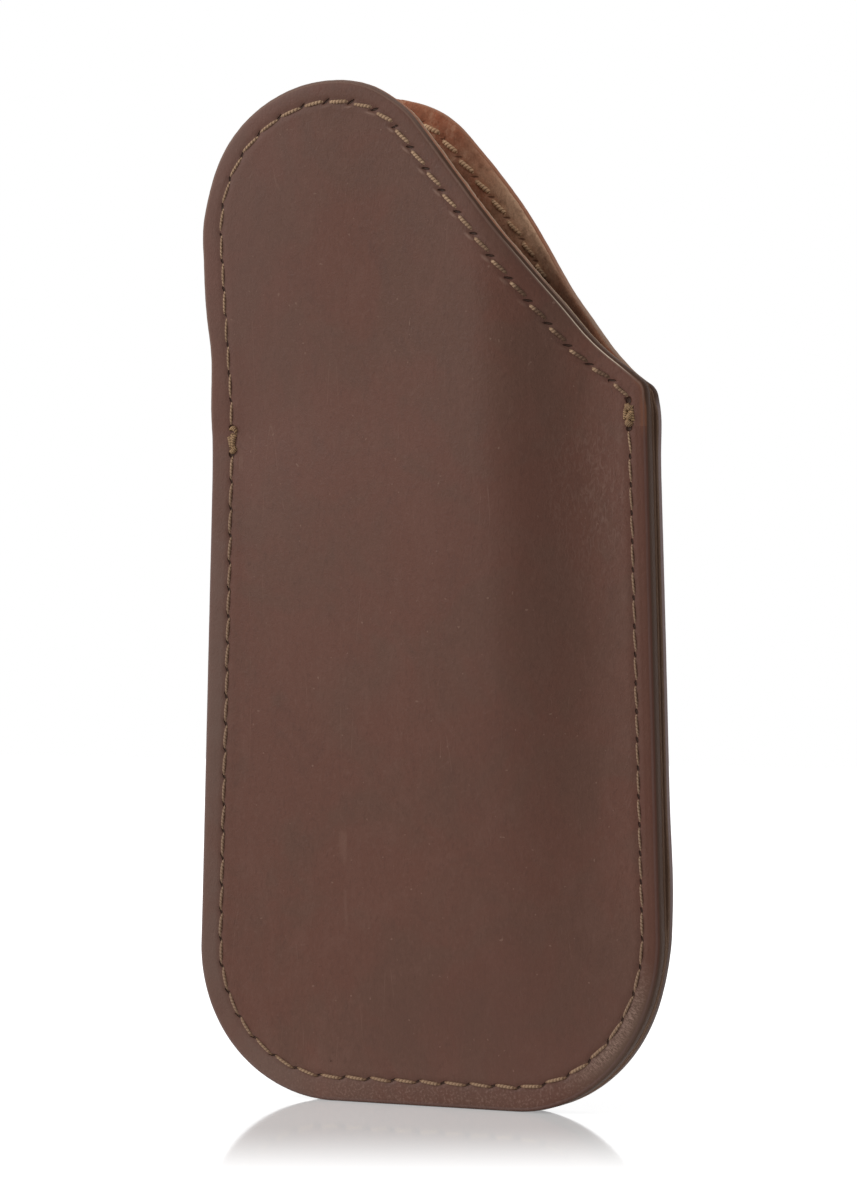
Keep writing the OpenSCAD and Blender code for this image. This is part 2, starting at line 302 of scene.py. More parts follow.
def insetPoints(edge, inward, inner, distances):
    # Points at distances from the edge: square to it at first, then on to the inner line.
    straight = grid["straightTo"]
    square = edge + inward * np.minimum(distances, straight)[:, None]
    part = np.clip((distances - straight) / (grid["inset"] - straight), 0, None)[:, None]
    return square + (inner - (edge + inward * straight)) * part


stitching = {
    "pitch": 4.7,
    "gap": 0.3,
    "width": 0.6,
    "lipCount": 30,
    "seamCount": 59,
    "traceStep": 0.25,
    "grooveDepth": 0.1,
    "grooveWidth": 0.7,
    "holeDepth": 0.42,
    "holeWidth": 0.26,
    "bedHeight": 0.05,          # leather raised at both sides of the groove
    "bedPlace": 1.3,
    "bedWidth": 0.55,
    "puckerHeight": 0.07,       # leather drawn up beside a hole, on the slope only
    "puckerPlace": 0.9,
    "puckerSize": (0.9, 0.35),  # along the row and across it
    "puckerTo": 17.0,           # last stitch that has one
    "opensFrom": 0.1,           # stitches from a tack at which the lips begin to part
    "opensOver": 0.6,
    # stitch count, slant of the thread and slant of the slit, in degrees towards the
    # inside, the thread's width as a share, and half the slit's length
    "run": [(0, 5, 12, 0.8, 0.6), (1, 8, 40, 1.1, 0.74), (14, 10, 45, 1.12, 0.76),
            (17, 2, 32, 1.0, 0.8), (19.5, -5, 20, 0.9, 0.7), (22, -5, 20, 0.7, 0.5),
            (31, -3, 24, 0.72, 0.55), (33, -3, 24, 0.86, 0.8), (50, -3, 25, 0.88, 0.85),
            (58, -6, 25, 0.95, 0.85), (66, -6, 25, 0.95, 0.8), (74, 3, 15, 0.7, 0.5),
            (91, 5, 12, 0.66, 0.46)],
}
threadSlant, slitSlant, threadWidth, slitReach = range(1, 5)    # columns of that table
lips = stitching["lipCount"]
stitchTotal = lips + stitching["seamCount"] + 2     # with the two tacks


def settingAt(count, column):
    keys = stitching["run"]
    return np.interp(count, [key[0] for key in keys], [key[column] for key in keys])


def traceStitchLine():
    s = np.arange(0, edgeLength, stitching["traceStep"])
    edge, inward = edgeAt(s)
    points = edge + inward * stitchMarginAt(s)[:, None]
    points = np.concatenate([points, points[:1]])
    return np.append(s, edgeLength), points, pointLengths(points)


lineEdge, linePoints, lineLengths = traceStitchLine()
lineLength = lineLengths[-1]


def lengthAtHeight(y, rising):
    # Length along the stitch line at which it first crosses a height, going up or down.
    heights = linePoints[:, 1]
    return next(lineLengths[i] for i in range(len(heights) - 1)
                if (heights[i] - y) * (heights[i + 1] - y) <= 0
                and (heights[i + 1] > heights[i]) == rising)


# Stitches are counted from the right backtack, 0, over the lip, 1 to 30, to the left
# backtack, 31, and round the seam, 32 to 90; each spans half a count either way.
seamEndRight = lengthAtHeight(pocket["rightSeamTop"], True)
seamEndLeft = lengthAtHeight(pocket["leftSeamTop"], False)
halfPitch = stitching["pitch"] / 2
countPlaces = [seamEndRight - halfPitch, seamEndRight + halfPitch, seamEndLeft - halfPitch,
               seamEndLeft + halfPitch, seamEndRight - halfPitch + lineLength]
countKeys = [-0.5, 0.5, lips + 0.5, lips + 1.5, stitchTotal - 0.5]
print("stitch line", round(lineLength, 1), "mm; seam ends at",
      round(seamEndRight, 1), round(seamEndLeft, 1))


def countAt(lineS):
    s = np.where(lineS < countPlaces[0], lineS + lineLength, lineS)
    return np.interp(s, countPlaces, countKeys)


def stitchRelief(counts, across):
    # Height of the leather round the stitches: a shallow groove under the thread
    # and a deeper, slanted pit where it goes in between two stitches.
    st = stitching
    along = (np.mod(counts, 1.0) - 0.5) * st["pitch"]
    groove = np.exp(-(across / st["grooveWidth"]) ** 2) * st["grooveDepth"]
    slit = np.radians(settingAt(counts, slitSlant))
    lengthways = along * np.cos(slit) + across * np.sin(slit)
    crossways = across * np.cos(slit) - along * np.sin(slit)
    reach = settingAt(counts, slitReach)
    pit = np.exp(-(lengthways / reach) ** 2 - (crossways / st["holeWidth"]) ** 2)
    lean = np.tan(np.radians(settingAt(counts, threadSlant)))
    beside = across - along * lean - st["puckerPlace"]
    long, wide = st["puckerSize"]
    pucker = np.exp(-(along / long) ** 2 - (beside / wide) ** 2) * (counts < st["puckerTo"])
    bed = np.exp(-((np.abs(across) - st["bedPlace"]) / st["bedWidth"]) ** 2)
    return (st["bedHeight"] * bed - groove - st["holeDepth"] * reach * pit
            + st["puckerHeight"] * pucker)


# Each rim is listed from the face that shows, over the edge, to the hidden face.
# "line" rings are distances inside the stitch line; "lip" and "seam" rings are (distance
# from the edge, height), where the panels part and where they are sewn.
leather = {
    "columns": 64,
    "rows": 400,
    "face": 3.4,
    "line": [2.5, 1.7, 1.15, 0.8, 0.52, 0.26, 0.0, -0.26, -0.52, -0.8, -1.15],
    "lip": [(1.8, 3.4), (1.3, 3.385), (0.9, 3.33), (0.6, 3.23), (0.38, 3.09), (0.2, 2.9),
            (0.07, 2.64), (0.01, 2.3), (0.01, 1.95), (0.04, 1.6), (0.11, 1.32), (0.24, 1.1),
            (0.5, 1.0), (1.5, 1.0), (3.5, 1.0)],
    "seam": [(1.8, 3.4), (1.3, 3.38), (0.9, 3.31), (0.6, 3.18), (0.36, 3.0), (0.16, 2.76),
             (0.04, 2.46), (0.0, 2.15), (0.0, 1.85), (0.0, 1.55), (0.0, 1.3), (0.0, 1.05),
             (0.05, 1.0), (1.5, 1.0), (3.5, 1.0)],
    "ragged": 0.035,            # unevenness of the cut edge
    "facesPocket": False,
}
suede = {
    "columns": 48,
    "rows": 320,
    "face": 0.0,
    "line": [2.5, 1.5, 0.9, 0.5, 0.2, -0.1, -0.4, -0.8],
    "lip": [(1.5, 0.0), (1.0, 0.02), (0.6, 0.08), (0.36, 0.2), (0.22, 0.4), (0.18, 0.66),
            (0.24, 0.88), (0.5, 1.0), (3.0, 1.0)],
    "seam": [(1.5, 0.0), (1.0, 0.0), (0.5, 0.0), (0.06, 0.0), (0.0, 0.06), (0.0, 0.5),
             (0.0, 0.95), (0.05, 1.0), (3.0, 1.0)],
    "ragged": 0.1,
    "facesPocket": True,
}


def coonsPatch(loop, columns, rows):
    # Fills a closed line of points with rows and columns of points.
    bottom = loop[:columns + 1]
    right = loop[columns:columns + rows + 1]
    top = loop[columns + rows:2 * columns + rows + 1][::-1]
    left = np.concatenate([loop[2 * columns + rows:], loop[:1]])[::-1]
    u = np.linspace(0, 1, columns + 1)[None, :, None]
    v = np.linspace(0, 1, rows + 1)[:, None, None]
    sides = left[:, None] * (1 - u) + right[:, None] * u
    ends = bottom[None] * (1 - v) + top[None] * v
    corners = ((1 - u) * (1 - v) * bottom[0] + u * (1 - v) * bottom[-1]
               + (1 - u) * v * top[0] + u * v * top[-1])
    patch = sides + ends - corners
    # Relaxed, because the first rows would fold over the foot's flat border.
    for turn in range(grid["relax"]):
        patch[1:-1, 1:-1] = (patch[:-2, 1:-1] + patch[2:, 1:-1]
                             + patch[1:-1, :-2] + patch[1:-1, 2:]) / 4
    return patch.reshape(-1, 2)


def addGrid(bm, columns, rows, places):
    # Adds a grid with its vertices moved to places, and returns them by row and column.
    table = {}
    for vertex in bmesh.ops.create_grid(bm, x_segments=columns, y_segments=rows,
                                        size=0.5)["verts"]:
        k = round((vertex.co.x + 0.5) * columns)
        i = round((vertex.co.y + 0.5) * rows)
        vertex.co = places[i * (columns + 1) + k]
        table[i, k] = vertex
    return table


def borderKeys(columns, rows):
    return ([(0, k) for k in range(columns)] + [(i, columns) for i in range(rows)]
            + [(rows, columns - k) for k in range(columns)]
            + [(rows - i, 0) for i in range(rows)])


def openAt(counts):
    # 1 where the lips part and 0 where the panels are sewn together
    start, run = stitching["opensFrom"], stitching["opensOver"]
    return smooth((counts - start) / run) * smooth((lips + 1 - start - counts) / run)


def raggedAt(s, seed, opens):
    fine, coarse = grid["raggedWaves"]
    rough = [noise.noise(Vector((place / fine, seed, 0.5)))
             + noise.noise(Vector((place / coarse, seed, 7.0))) for place in s]
    least = grid["raggedSewn"]
    return np.array(rough) * (least + (1 - least) * opens)


def layRings(sheet, s, margins, counts, seed):
    # Each ring's distances from the edge, heights and length travelled over the rim
    opens = openAt(counts)
    ragged = sheet["ragged"] * raggedAt(s, seed, opens)
    outward = -1 if sheet["facesPocket"] else 1
    rings = []
    for inside in sheet["line"]:
        distances = np.maximum(margins + inside, sheet["lip"][0][0] + grid["ringGap"])
        relief = outward * stitchRelief(counts, np.full(len(s), inside))
        rings.append((distances, sheet["face"] + relief, 0.0))
    travelled, previous = 0.0, sheet["lip"][0]
    for lip, seam in zip(sheet["lip"], sheet["seam"]):
        travelled += math.dist(lip, previous)
        previous = lip
        distances = seam[0] + (lip[0] - seam[0]) * opens + ragged * math.exp(-lip[0])
        rings.append((distances, seam[1] + (lip[1] - seam[1]) * opens, travelled))
    return rings


def makeSheet(name, panel, sheet):
    # A closed sheet: a grid for the face that shows, its border carried over the
    # rim ring by ring, and a second grid for the hidden face joined to the last ring.
    side, seed, columns, rows = panel["side"], panel["seed"], sheet["columns"], sheet["rows"]
    s, edge, inward, inner = layStations(columns, rows, panel["trims"])
    margins = stitchMarginAt(s) + trimAt(s, panel["rowShift"]) - trimAt(s, panel["trims"])
    counts = countAt(np.interp(s, lineEdge, lineLengths))
    patch = coonsPatch(inner, columns, rows)
    rise = standOut(patch, seed)
    bm = bmesh.new()
    uv = bm.loops.layers.uv.new("stitching")
    layers = {key: bm.verts.layers.float.new(key)
              for key in ("rim", "open", "dyed", "slit", "reach")}
    table = addGrid(bm, columns, rows, toWorld(patch, rise + sheet["face"], side))
    across = dict.fromkeys(table.values(), grid["wellInside"])
    station = {table[key]: n for n, key in enumerate(borderKeys(columns, rows))}
    for vertex, n in station.items():
        across[vertex] = grid["inset"] - margins[n]
    ringEdges = [e for e in bm.edges if e.is_boundary]
    for distances, heights, travelled in layRings(sheet, s, margins, counts, seed):
        points = insetPoints(edge, inward, inner, distances)
        where = toWorld(points, standOut(points, seed) + heights, side)
        grown = bmesh.ops.extrude_edge_only(bm, edges=ringEdges)["geom"]
        fresh = {}
        for vertex in [g for g in grown if isinstance(g, bmesh.types.BMVert)]:
            n = next(station[e.other_vert(vertex)] for e in vertex.link_edges
                     if e.other_vert(vertex) in station)
            fresh[vertex] = n
            vertex.co = where[n]
            across[vertex] = distances[n] - margins[n]
            vertex[layers["rim"]] = travelled
        station = fresh
        ringEdges = [g for g in grown if isinstance(g, bmesh.types.BMEdge)]

    # The hidden face's grid repeats the first one a thickness below it.
    backHeight = sheet["lip"][-1][1]
    hidden = set(addGrid(bm, columns, rows, toWorld(patch, rise + backHeight, side)).values())
    for vertex in hidden:
        across[vertex] = grid["wellInside"]
        vertex[layers["rim"]] = travelled
    hiddenEdges = [e for e in bm.edges if e.is_boundary and e.verts[0] in hidden]
    bmesh.ops.bridge_loops(bm, edges=ringEdges + hiddenEdges)
    markStitching(bm, uv, layers, across, nearestCounts(bm, edge, counts), dyedAll=side < 0)
    bmesh.ops.recalc_face_normals(bm, faces=bm.faces)
    return finishMesh(bm, name)


def markStitching(bm, uv, layers, across, nearest, dyedAll):
    # UV: stitches counted along the row, and millimetres inside the stitch line. The
    # front is dyed to its edge all round, and the back only where it is sewn.
    opens = openAt(np.array(nearest))
    shares = {"open": opens, "dyed": np.ones(len(opens)) if dyedAll else 1 - opens,
              "slit": np.tan(np.radians(settingAt(nearest, slitSlant))),
              "reach": settingAt(nearest, slitReach)}
    for key, values in shares.items():
        for vertex, value in zip(bm.verts, values):
            vertex[layers[key]] = value
    bm.verts.index_update()
    for face in bm.faces:
        values = [nearest[loop.vert.index] for loop in face.loops]
        wraps = max(values) - min(values) > stitchTotal / 2
        for loop, value in zip(face.loops, values):
            if wraps and value < stitchTotal / 2:
                value += stitchTotal
            loop[uv].uv = (value, across[loop.vert])


def nearestCounts(bm, edge, counts):
    # The stitch count level with each vertex, read from the nearest station.
    tree = kdtree.KDTree(len(edge))
    for n, point in enumerate(edge):
        tree.insert((point[0], point[1], 0), n)
    tree.balance()
    return [counts[tree.find((v.co.x / mm, v.co.z / mm, 0))[1]] for v in bm.verts]


def finishMesh(bm, name):
    mesh = bpy.data.meshes.new(name)
    bm.to_mesh(mesh)
    bm.free()
    mesh.shade_smooth()
    piece = bpy.data.objects.new(name, mesh)
    bpy.context.collection.objects.link(piece)
    return piece


class Nodes:
    # Adds shader nodes to one tree; a value is a number or another node's output.
    def __init__(self, tree):
        self.tree = tree

    def add(self, kind, inputs=None, **settings):
        node = self.tree.nodes.new("ShaderNode" + kind)
        for key, value in settings.items():
            setattr(node, key, value)
        for key, value in (inputs or {}).items():
            if isinstance(value, bpy.types.NodeSocket):
                self.tree.links.new(value, node.inputs[key])
            else:
                node.inputs[key].default_value = value
        return node

    def calc(self, operation, *values):
        return self.add("Math", dict(enumerate(values)), operation=operation).outputs[0]

    def chain(self, operation, first, *rest):
        for value in rest:
            first = self.calc(operation, first, value)
        return first

    def times(self, *values):
        return self.chain("MULTIPLY", *values)

    def most(self, *values):
        return self.chain("MAXIMUM", *values)

    def total(self, *terms):
        # Sum of terms given as (value, weight).
        result = 0.0
        for value, weight in terms:
            result = self.calc("MULTIPLY_ADD", value, weight, result)
        return result

    def absolute(self, value):
        return self.calc("ABSOLUTE", value)

    def distance(self, a, b):
        return self.calc("SQRT", self.total((a, a), (b, b)))

    def remap(self, value, fromLow, fromHigh, toLow=0.0, toHigh=1.0, soft=False):
        return self.add("MapRange", {0: value, 1: fromLow, 2: fromHigh, 3: toLow, 4: toHigh},
                        interpolation_type="SMOOTHSTEP" if soft else "LINEAR").outputs[0]

    def soften(self, value, fromLow, fromHigh, toLow=0.0, toHigh=1.0):
        return self.remap(value, fromLow, fromHigh, toLow, toHigh, soft=True)

    def mix(self, share, a, b):
        return self.add("Mix", {0: share, 6: a, 7: b}, data_type="RGBA").outputs[2]

    def area(self, here, limits):
        # The product of limits: each is a share to read, or (what is read, where the area
        # begins, where it is full), with its values at both ends or "soft" after them.
        shares = []
        for limit in limits:
            if isinstance(limit, str):
                shares.append(here[limit])
                continue
            name, *ends = limit
            soft = ends[-1] == "soft"
            shares.append(self.remap(here[name], *ends[:len(ends) - soft], soft=soft))
        return self.times(*shares)

    def paint(self, base, look, here, coats):
        # Lays colours of the look over the base, each given as (colour, share, *limits).
        for name, share, *limits in coats:
            base = self.mix(self.times(self.area(here, limits), share), base, look[name])
        return base

    def mottle(self, place, scale, detail=2.0, roughness=0.5, distortion=0.0, stretch=None,
               turn=0.0):
        # Noise, stretched along the case's axes and turned in its plane if need be.
        if stretch:
            place = self.add("Mapping", {"Vector": place, "Scale": stretch,
                                         "Rotation": (0, turn, 0)}).outputs[0]
        return self.add("TexNoise", {"Vector": place, "Scale": scale, "Detail": detail,
                                     "Roughness": roughness,
                                     "Distortion": distortion}).outputs["Fac"]

    def mottles(self, here, noises):
        # Adds noises at a place to what can be read there.
        for name, settings in noises.items():
            here[name] = self.mottle(here["place"], *settings)

    def attribute(self, name):
        return self.add("Attribute", attribute_name=name).outputs["Fac"]

    def objectPlace(self):
        return self.add("TexCoord").outputs["Object"]

    def uvPlace(self, name):
        return self.add("UVMap", uv_map=name).outputs["UV"]

    def split(self, vector):
        return self.add("SeparateXYZ", {0: vector}).outputs

    def join(self, x, y, z=0.0):
        return self.add("CombineXYZ", {0: x, 1: y, 2: z}).outputs[0]

    def group(self, group, inputs=None):
        return self.add("Group", inputs, node_tree=group).outputs


def colour(red, green, blue):
    # A screen colour, 0 to 255, as the linear values that sockets take.
    linear = lambda v: v / 12.92 if v <= 0.04045 else ((v + 0.055) / 1.055) ** 2.4
    return (linear(red / 255), linear(green / 255), linear(blue / 255), 1.0)


def newGroup(name, inputs):
    group = bpy.data.node_groups.new(name, "ShaderNodeTree")
    for label, value in inputs.items():
        socket = group.interface.new_socket(label, in_out="INPUT", socket_type="NodeSocketFloat")
        socket.default_value = value
    return Nodes(group), group.nodes.new("NodeGroupInput").outputs


def closeGroup(n, results):
    for label in results:
        n.tree.interface.new_socket(label, in_out="OUTPUT", socket_type="NodeSocketFloat")
    end = n.tree.nodes.new("NodeGroupOutput")
    for label, value in results.items():
        n.tree.links.new(value, end.inputs[label])
    return n.tree


def newMaterial(name):
    material = bpy.data.materials.new(name)
    material.use_nodes = True
    tree = material.node_tree
    return material, Nodes(tree), tree.nodes["Principled BSDF"]


def finishMaterial(n, shader, look, base, bumps):
    # Sets the plain values, and links the colour and the bumps, given as (height, depth).
    for label, value in look["shader"].items():
        shader.inputs[label].default_value = value
    n.tree.links.new(base, shader.inputs["Base Color"])
    below = {}
    for height, depth in bumps:
        bump = n.add("Bump", {"Strength": 1.0, "Distance": look[depth], "Height": height, **below})
        below = {"Normal": bump.outputs[0]}
    n.tree.links.new(below["Normal"], shader.inputs["Normal"])


hide = {
    "poreScale": 2600.0,
    "creaseScale": 620.0,
    # noise scale, detail, roughness, distortion, stretch and turn
    "noises": {
        "drift": (55.0, 4.0, 0.62, 0.6),
        "smudge": (150.0, 5.0, 0.66, 1.2, (1.0, 1.0, 0.55)),
        "specks": (1500.0, 0.0),
        "strokes": (1900.0, 2.0, 0.6, 1.0, (1.0, 1.0, 0.4), -0.9),
        "lines": (60.0, 1.0, 0.3, 0.0, (3.0, 1.0, 0.2), -0.5),
        "worn": (95.0, 3.0, 0.6),
    },
    "creases": (5.0, 0.7, 1.2, (1.0, 1.0, 0.75), 0.5),
    "grit": (2.0, 0.6),
    "speckShare": (0.83, 0.88),     # noise value between which a fleck shows
    "scratchWidth": (0.006, 0.001),
    "scratched": (0.53, 0.64),
    "relief": {"creases": 0.75, "grit": 0.2, "pores": 0.2, "strokes": 0.5, "scratches": -0.15},
}


def makeHideGrain():
    # Colour drift, flecks, scratches and fine creases of a hide, on object coordinates.
    n, given = newGroup("hideGrain", {"Pore Scale": hide["poreScale"],
                                      "Crease Scale": hide["creaseScale"]})
    here = {"place": n.objectPlace()}
    n.mottles(here, hide["noises"])
    here["creases"] = n.mottle(here["place"], given["Crease Scale"], *hide["creases"])
    here["grit"] = n.mottle(here["place"], given["Pore Scale"], *hide["grit"])
    here["pores"] = n.add("TexVoronoi", {"Vector": here["place"], "Scale": given["Pore Scale"],
                                         "Randomness": 1.0}).outputs["Distance"]
    line = n.absolute(n.calc("SUBTRACT", here["lines"], 0.5))
    here["scratches"] = n.times(n.remap(line, *hide["scratchWidth"]),
                                n.soften(here["worn"], *hide["scratched"]))
    return closeGroup(n, {
        "Drift": here["drift"], "Smudge": here["smudge"],
        "Flecks": n.remap(here["specks"], *hide["speckShare"]),
        "Strokes": here["strokes"], "Scratches": here["scratches"],
        "Relief": n.total(*[(here[name], share) for name, share in hide["relief"].items()])})


needle = {
    "width": 0.19,              # of a hole, in millimetres across its slit
    "ragged": 0.22,             # waviness of its rim
    "raggedScale": 1500.0,
    "tackReach": (0.8, 0.7),    # stitches from a tack between which holes get wide
    "tackWidth": 2.7,           # times as wide as the others
    "rim": (1.2, 0.6),          # share of a hole's size between which it darkens with painted shade
    "pull": (1.2, 0.2),         # distance from the row between which its groove darkens with painted shade
    "puckerSize": (1.25, 0.42),
    "puckerSlant": 0.18,
    "puckerRim": (1.1, 0.2),
    "puckerFrom": (4.5, 8.0, 0.15, 1.0),    # stitches between which it grows, and from what
    "puckerFade": 2.0,          # stitches over which it ends
    "puckerHeight": 0.3,        # as a share of a hole's depth
}


def makeNeedleMarks():
    # Masks on the stitching UV for painted shade in the slanted needle holes and along the pull of
    # the thread, and for a painted highlight on the leather puckered beside a hole; holes and
    # puckers also give a bump.
    st = stitching
    n, given = newGroup("needleMarks", {"Hole Width": needle["width"], "Ragged": needle["ragged"]})
    slit, length = n.attribute("slit"), n.attribute("reach")
    count, across = n.split(n.uvPlace("stitching"))[:2]
    ragged = n.calc("SUBTRACT", n.mottle(n.objectPlace(), needle["raggedScale"]), 0.5)
    across = n.calc("MULTIPLY_ADD", ragged, given["Ragged"], across)
    along = n.times(n.calc("SUBTRACT", n.calc("FRACT", count), 0.5), st["pitch"])
    unit = n.calc("SQRT", n.calc("MULTIPLY_ADD", slit, slit, 1.0))
    lengthways = n.calc("DIVIDE", n.calc("MULTIPLY_ADD", across, slit, along), unit)
    crossways = n.calc("DIVIDE", n.calc("SUBTRACT", across, n.times(along, slit)), unit)
    # The doubled stitches at the seam's two ends have pulled their holes wide open.
    tacks = [n.absolute(n.calc("SUBTRACT", count, tack)) for tack in (0, lips + 1, stitchTotal)]
    wide = n.remap(n.chain("MINIMUM", *tacks), *needle["tackReach"], 1.0, needle["tackWidth"])
    width = n.times(given["Hole Width"], wide)
    reach = n.distance(n.calc("DIVIDE", lengthways, length), n.calc("DIVIDE", crossways, width))
    hole = n.soften(reach, *needle["rim"])
    beside = n.calc("MULTIPLY_ADD", along, needle["puckerSlant"], st["puckerPlace"])
    puckerLong, puckerWide = needle["puckerSize"]
    streak = n.distance(n.calc("DIVIDE", along, puckerLong),
                        n.calc("DIVIDE", n.calc("SUBTRACT", across, beside), puckerWide))
    pucker = n.times(n.soften(streak, *needle["puckerRim"]),
                     n.remap(count, st["puckerTo"], st["puckerTo"] - needle["puckerFade"]),
                     n.remap(count, *needle["puckerFrom"]))
    return closeGroup(n, {
        "Hole": hole, "Pull": n.soften(n.absolute(across), *needle["pull"]), "Pucker": pucker,
        "Dent": n.calc("SUBTRACT", n.times(pucker, needle["puckerHeight"]), hole)})


hideGrain = makeHideGrain()
needleMarks = makeNeedleMarks()


def readSheet(n, grainInputs=None):
    # What the coats of a sheet read: the place in metres as x, y and z, the stitch count,
    # the millimetres inside the row and over the rim, the effects' values, and whether it
    # is open or sewn there, and dyed to the edge.
    here = {name: n.attribute(name) for name in ("rim", "open", "dyed")}
    here["place"] = n.objectPlace()
    here["x"], here["y"], here["z"] = n.split(here["place"])
    here["count"], here["across"] = n.split(n.uvPlace("stitching"))[:2]
    here["sewn"] = n.calc("SUBTRACT", 1.0, here["open"])
    for outputs in (n.group(hideGrain, grainInputs), n.group(needleMarks)):
        here.update({socket.name.lower(): socket for socket in outputs})
    return here


leatherLook = {
    "red": colour(95, 62, 51),
    "olive": colour(91, 63, 52),
    "pale": colour(107, 78, 68),
    "dark": colour(73, 49, 41),
    "handled": colour(80, 54, 45),      # painted shade down the side of the pen's ridge, and darker at the bottom towards the right
    "faded": colour(114, 88, 80),       # painted sheen, paler and greyer, on the left of the tab
    "outerLeft": colour(100, 79, 70),   # painted sheen on the margin outside the left seam
    "outerRight": colour(89, 56, 45),
    "cornerGrey": colour(94, 77, 65),
    "crease": colour(132, 106, 94),
    "fleck": colour(134, 106, 92),
    "stretched": colour(136, 108, 94),  # painted highlight where the thread draws the leather up
    # hole: painted shade inside the needle holes
    "hole": colour(44, 27, 18),
    # bevel colours: a painted highlight, with some wear, along the top of the rounded edge
    "bevel": colour(104, 80, 74),
    "lipBevelHighlight": colour(120, 96, 84),
    "seamWall": colour(79, 58, 46),
    "farRim": colour(141, 122, 119),    # painted highlight where the back panel's face turns into the wall
    "lipWall": colour(73, 50, 37),
    "tabWall": colour(112, 90, 80),
    "scuffed": colour(146, 94, 64),     # at the edge below the shoulder
    "groove": colour(48, 33, 26),
    "cutLine": colour(228, 208, 186),   # along the lips next to the shoulder
    "raw": colour(166, 112, 84),
    "roughness": (0.45, 0.57),  # between the smudges and in them
    "edgeRoughness": 0.62,
    "shader": {"Specular IOR Level": 0.15},
    "grainDepth": 0.00009,
    "holeDepth": 0.0003,
    "noises": {                 # as in hide
        "fine": (1300.0, 3.0, 0.7),
        "folds": (1300.0, 3.0, 0.6, 1.6, (1.0, 1.0, 0.35), -0.65),
        "uneven": (90.0, 3.0, 0.6),
        "pores": (2300.0, 2.0, 0.6),
    },
    "marginScale": (18.0, 1.3),     # of creases on the margin, by stitch and millimetre
    "creases": (1.0, 3.0, 0.7, 0.6),
    "wallScale": (2.4, 0.25),       # of grooves along the wall, by millimetre and stitch
    "grooves": (1.6, 3.0, 0.6),
    "grooveRelief": 0.25,
    "twoBrowns": (0.4, 0.6),
    # Limits over the rim, in millimetres travelled from its first ring
    "wallFrom": (1.32, 1.62),
    "roughFrom": (1.0, 1.6),
    "rawFrom": (2.3, 1.9),          # on the lips
    "undyedLead": 0.9,              # how much sooner the wall begins on undyed lips
    "sewnLag": -0.25,
    # Limits along it, in stitches from the shoulder
    "nearShoulder": (8.0, 4.0),
    "tabWallFrom": (11.5, 13.5),
    "cornerDark": (3.0, 1.5),
    "undyedReach": 1.9,             # how much shorter that is on undyed lips
    "shoulderDark": (0.3, 0.9),     # undyed and dyed
    "cutShare": 0.35,
    "seamTop": (90.0, 91.2),
    "seamTopEnd": (1.0, 0.3),
}
# A coat is (colour, share, *limits), as Nodes.area reads them: x, y and z are metres, count
# is stitches, across and rim are millimetres, and the rest are shares from 0 to 1.
hideCoats = [
    ("pale", 0.34, ("smudge", 0.5, 0.74)),
    ("dark", 0.3, ("smudge", 0.46, 0.26)),
    ("dark", 0.35, ("fine", 0.55, 0.8)),
    ("pale", 0.35, ("fine", 0.45, 0.25)),
    ("dark", 0.3, ("strokes", 0.56, 0.72)),
    ("pale", 0.22, ("strokes", 0.42, 0.28)),
    # Painted shade down the side of the pen's ridge, and darker at the bottom towards the right
    ("handled", 0.24, ("x", -0.004, 0.022, "soft"), ("x", 0.038, 0.03), ("z", 0.135, 0.1)),
    ("handled", 0.3, ("z", 0.034, 0.018), ("x", -0.02, -0.005)),
    # Painted sheen, paler and greyer, on the left of the tab
    ("faded", 0.3, ("x", -0.012, -0.034), ("z", 0.09, 0.14)),
    ("crease", 0.3, ("x", 0.022, 0.03), ("x", 0.0385, 0.036), ("z", 0.08, 0.1),
     ("z", 0.121, 0.112), ("folds", 0.48, 0.72)),
    ("fleck", 0.17, "scratches"),
    ("fleck", 0.4, "flecks"),
    # Outside the seam the hide is greyer and paler on the left and the bottom, a painted sheen,
    # with open pores, and redder on the right, with creases across it at the lower corner.
    # Painted sheen, greyer and paler, on the left and bottom margins
    ("outerLeft", 1.0, "outside", ("count", 31.0, 36.0), ("count", 61.0, 53.0),
     ("uneven", 0.35, 0.6, 0.35, 0.75)),
    ("outerRight", 0.6, "outside", ("count", 66.0, 72.0)),
    ("crease", 0.36, "outside", ("count", 53.0, 58.0), ("count", 72.0, 66.0),
     ("pores", 0.5, 0.68)),
    ("cornerGrey", 0.6, "outside", ("count", 66.0, 68.0), ("count", 71.8, 69.8)),
    ("crease", 1.0, "outside", ("count", 66.0, 68.0), ("count", 71.8, 69.8),
     ("across", -2.6, -1.4), ("creases", 0.44, 0.6)),
    ("scuffed", 1.0, "belowShoulder", ("across", -1.7, -2.6, "soft"),
     ("smudge", 0.3, 0.6, 0.15, 0.55)),
    # Painted shade along the row's groove, next to the thread
    ("dark", 0.12, "pull"),
    # Painted highlight on the leather puckered beside each hole
    ("stretched", 0.5, "pucker"),
]
wallCoats = [
    ("groove", 0.14, ("grooves", 0.56, 0.36)),
    # Painted highlight where the back panel's face turns into the wall
    ("farRim", 1.0, "sewn", ("y", 0.0002, 0.0013), ("z", 0.028, 0.042, 0.3, 1.0)),
]
# Where the top of the rounded edge gets a painted highlight, with some wear
wornAndLitBevel = ["dyed", ("rim", 1.0, 1.2, "soft"), ("rim", 1.55, 1.32, "soft"),
             ("grooves", 0.3, 0.6, 0.3, 0.65)]
edgeCoats = [
    ("cutLine", 0.85, "dyed", "nearShoulder", ("rim", 1.27, 1.33), ("rim", 1.47, 1.41),
     ("count", 0.9, 2.0)),
    # Needle holes painted dark, as shade inside them
    ("hole", 0.9, "hole"),
]


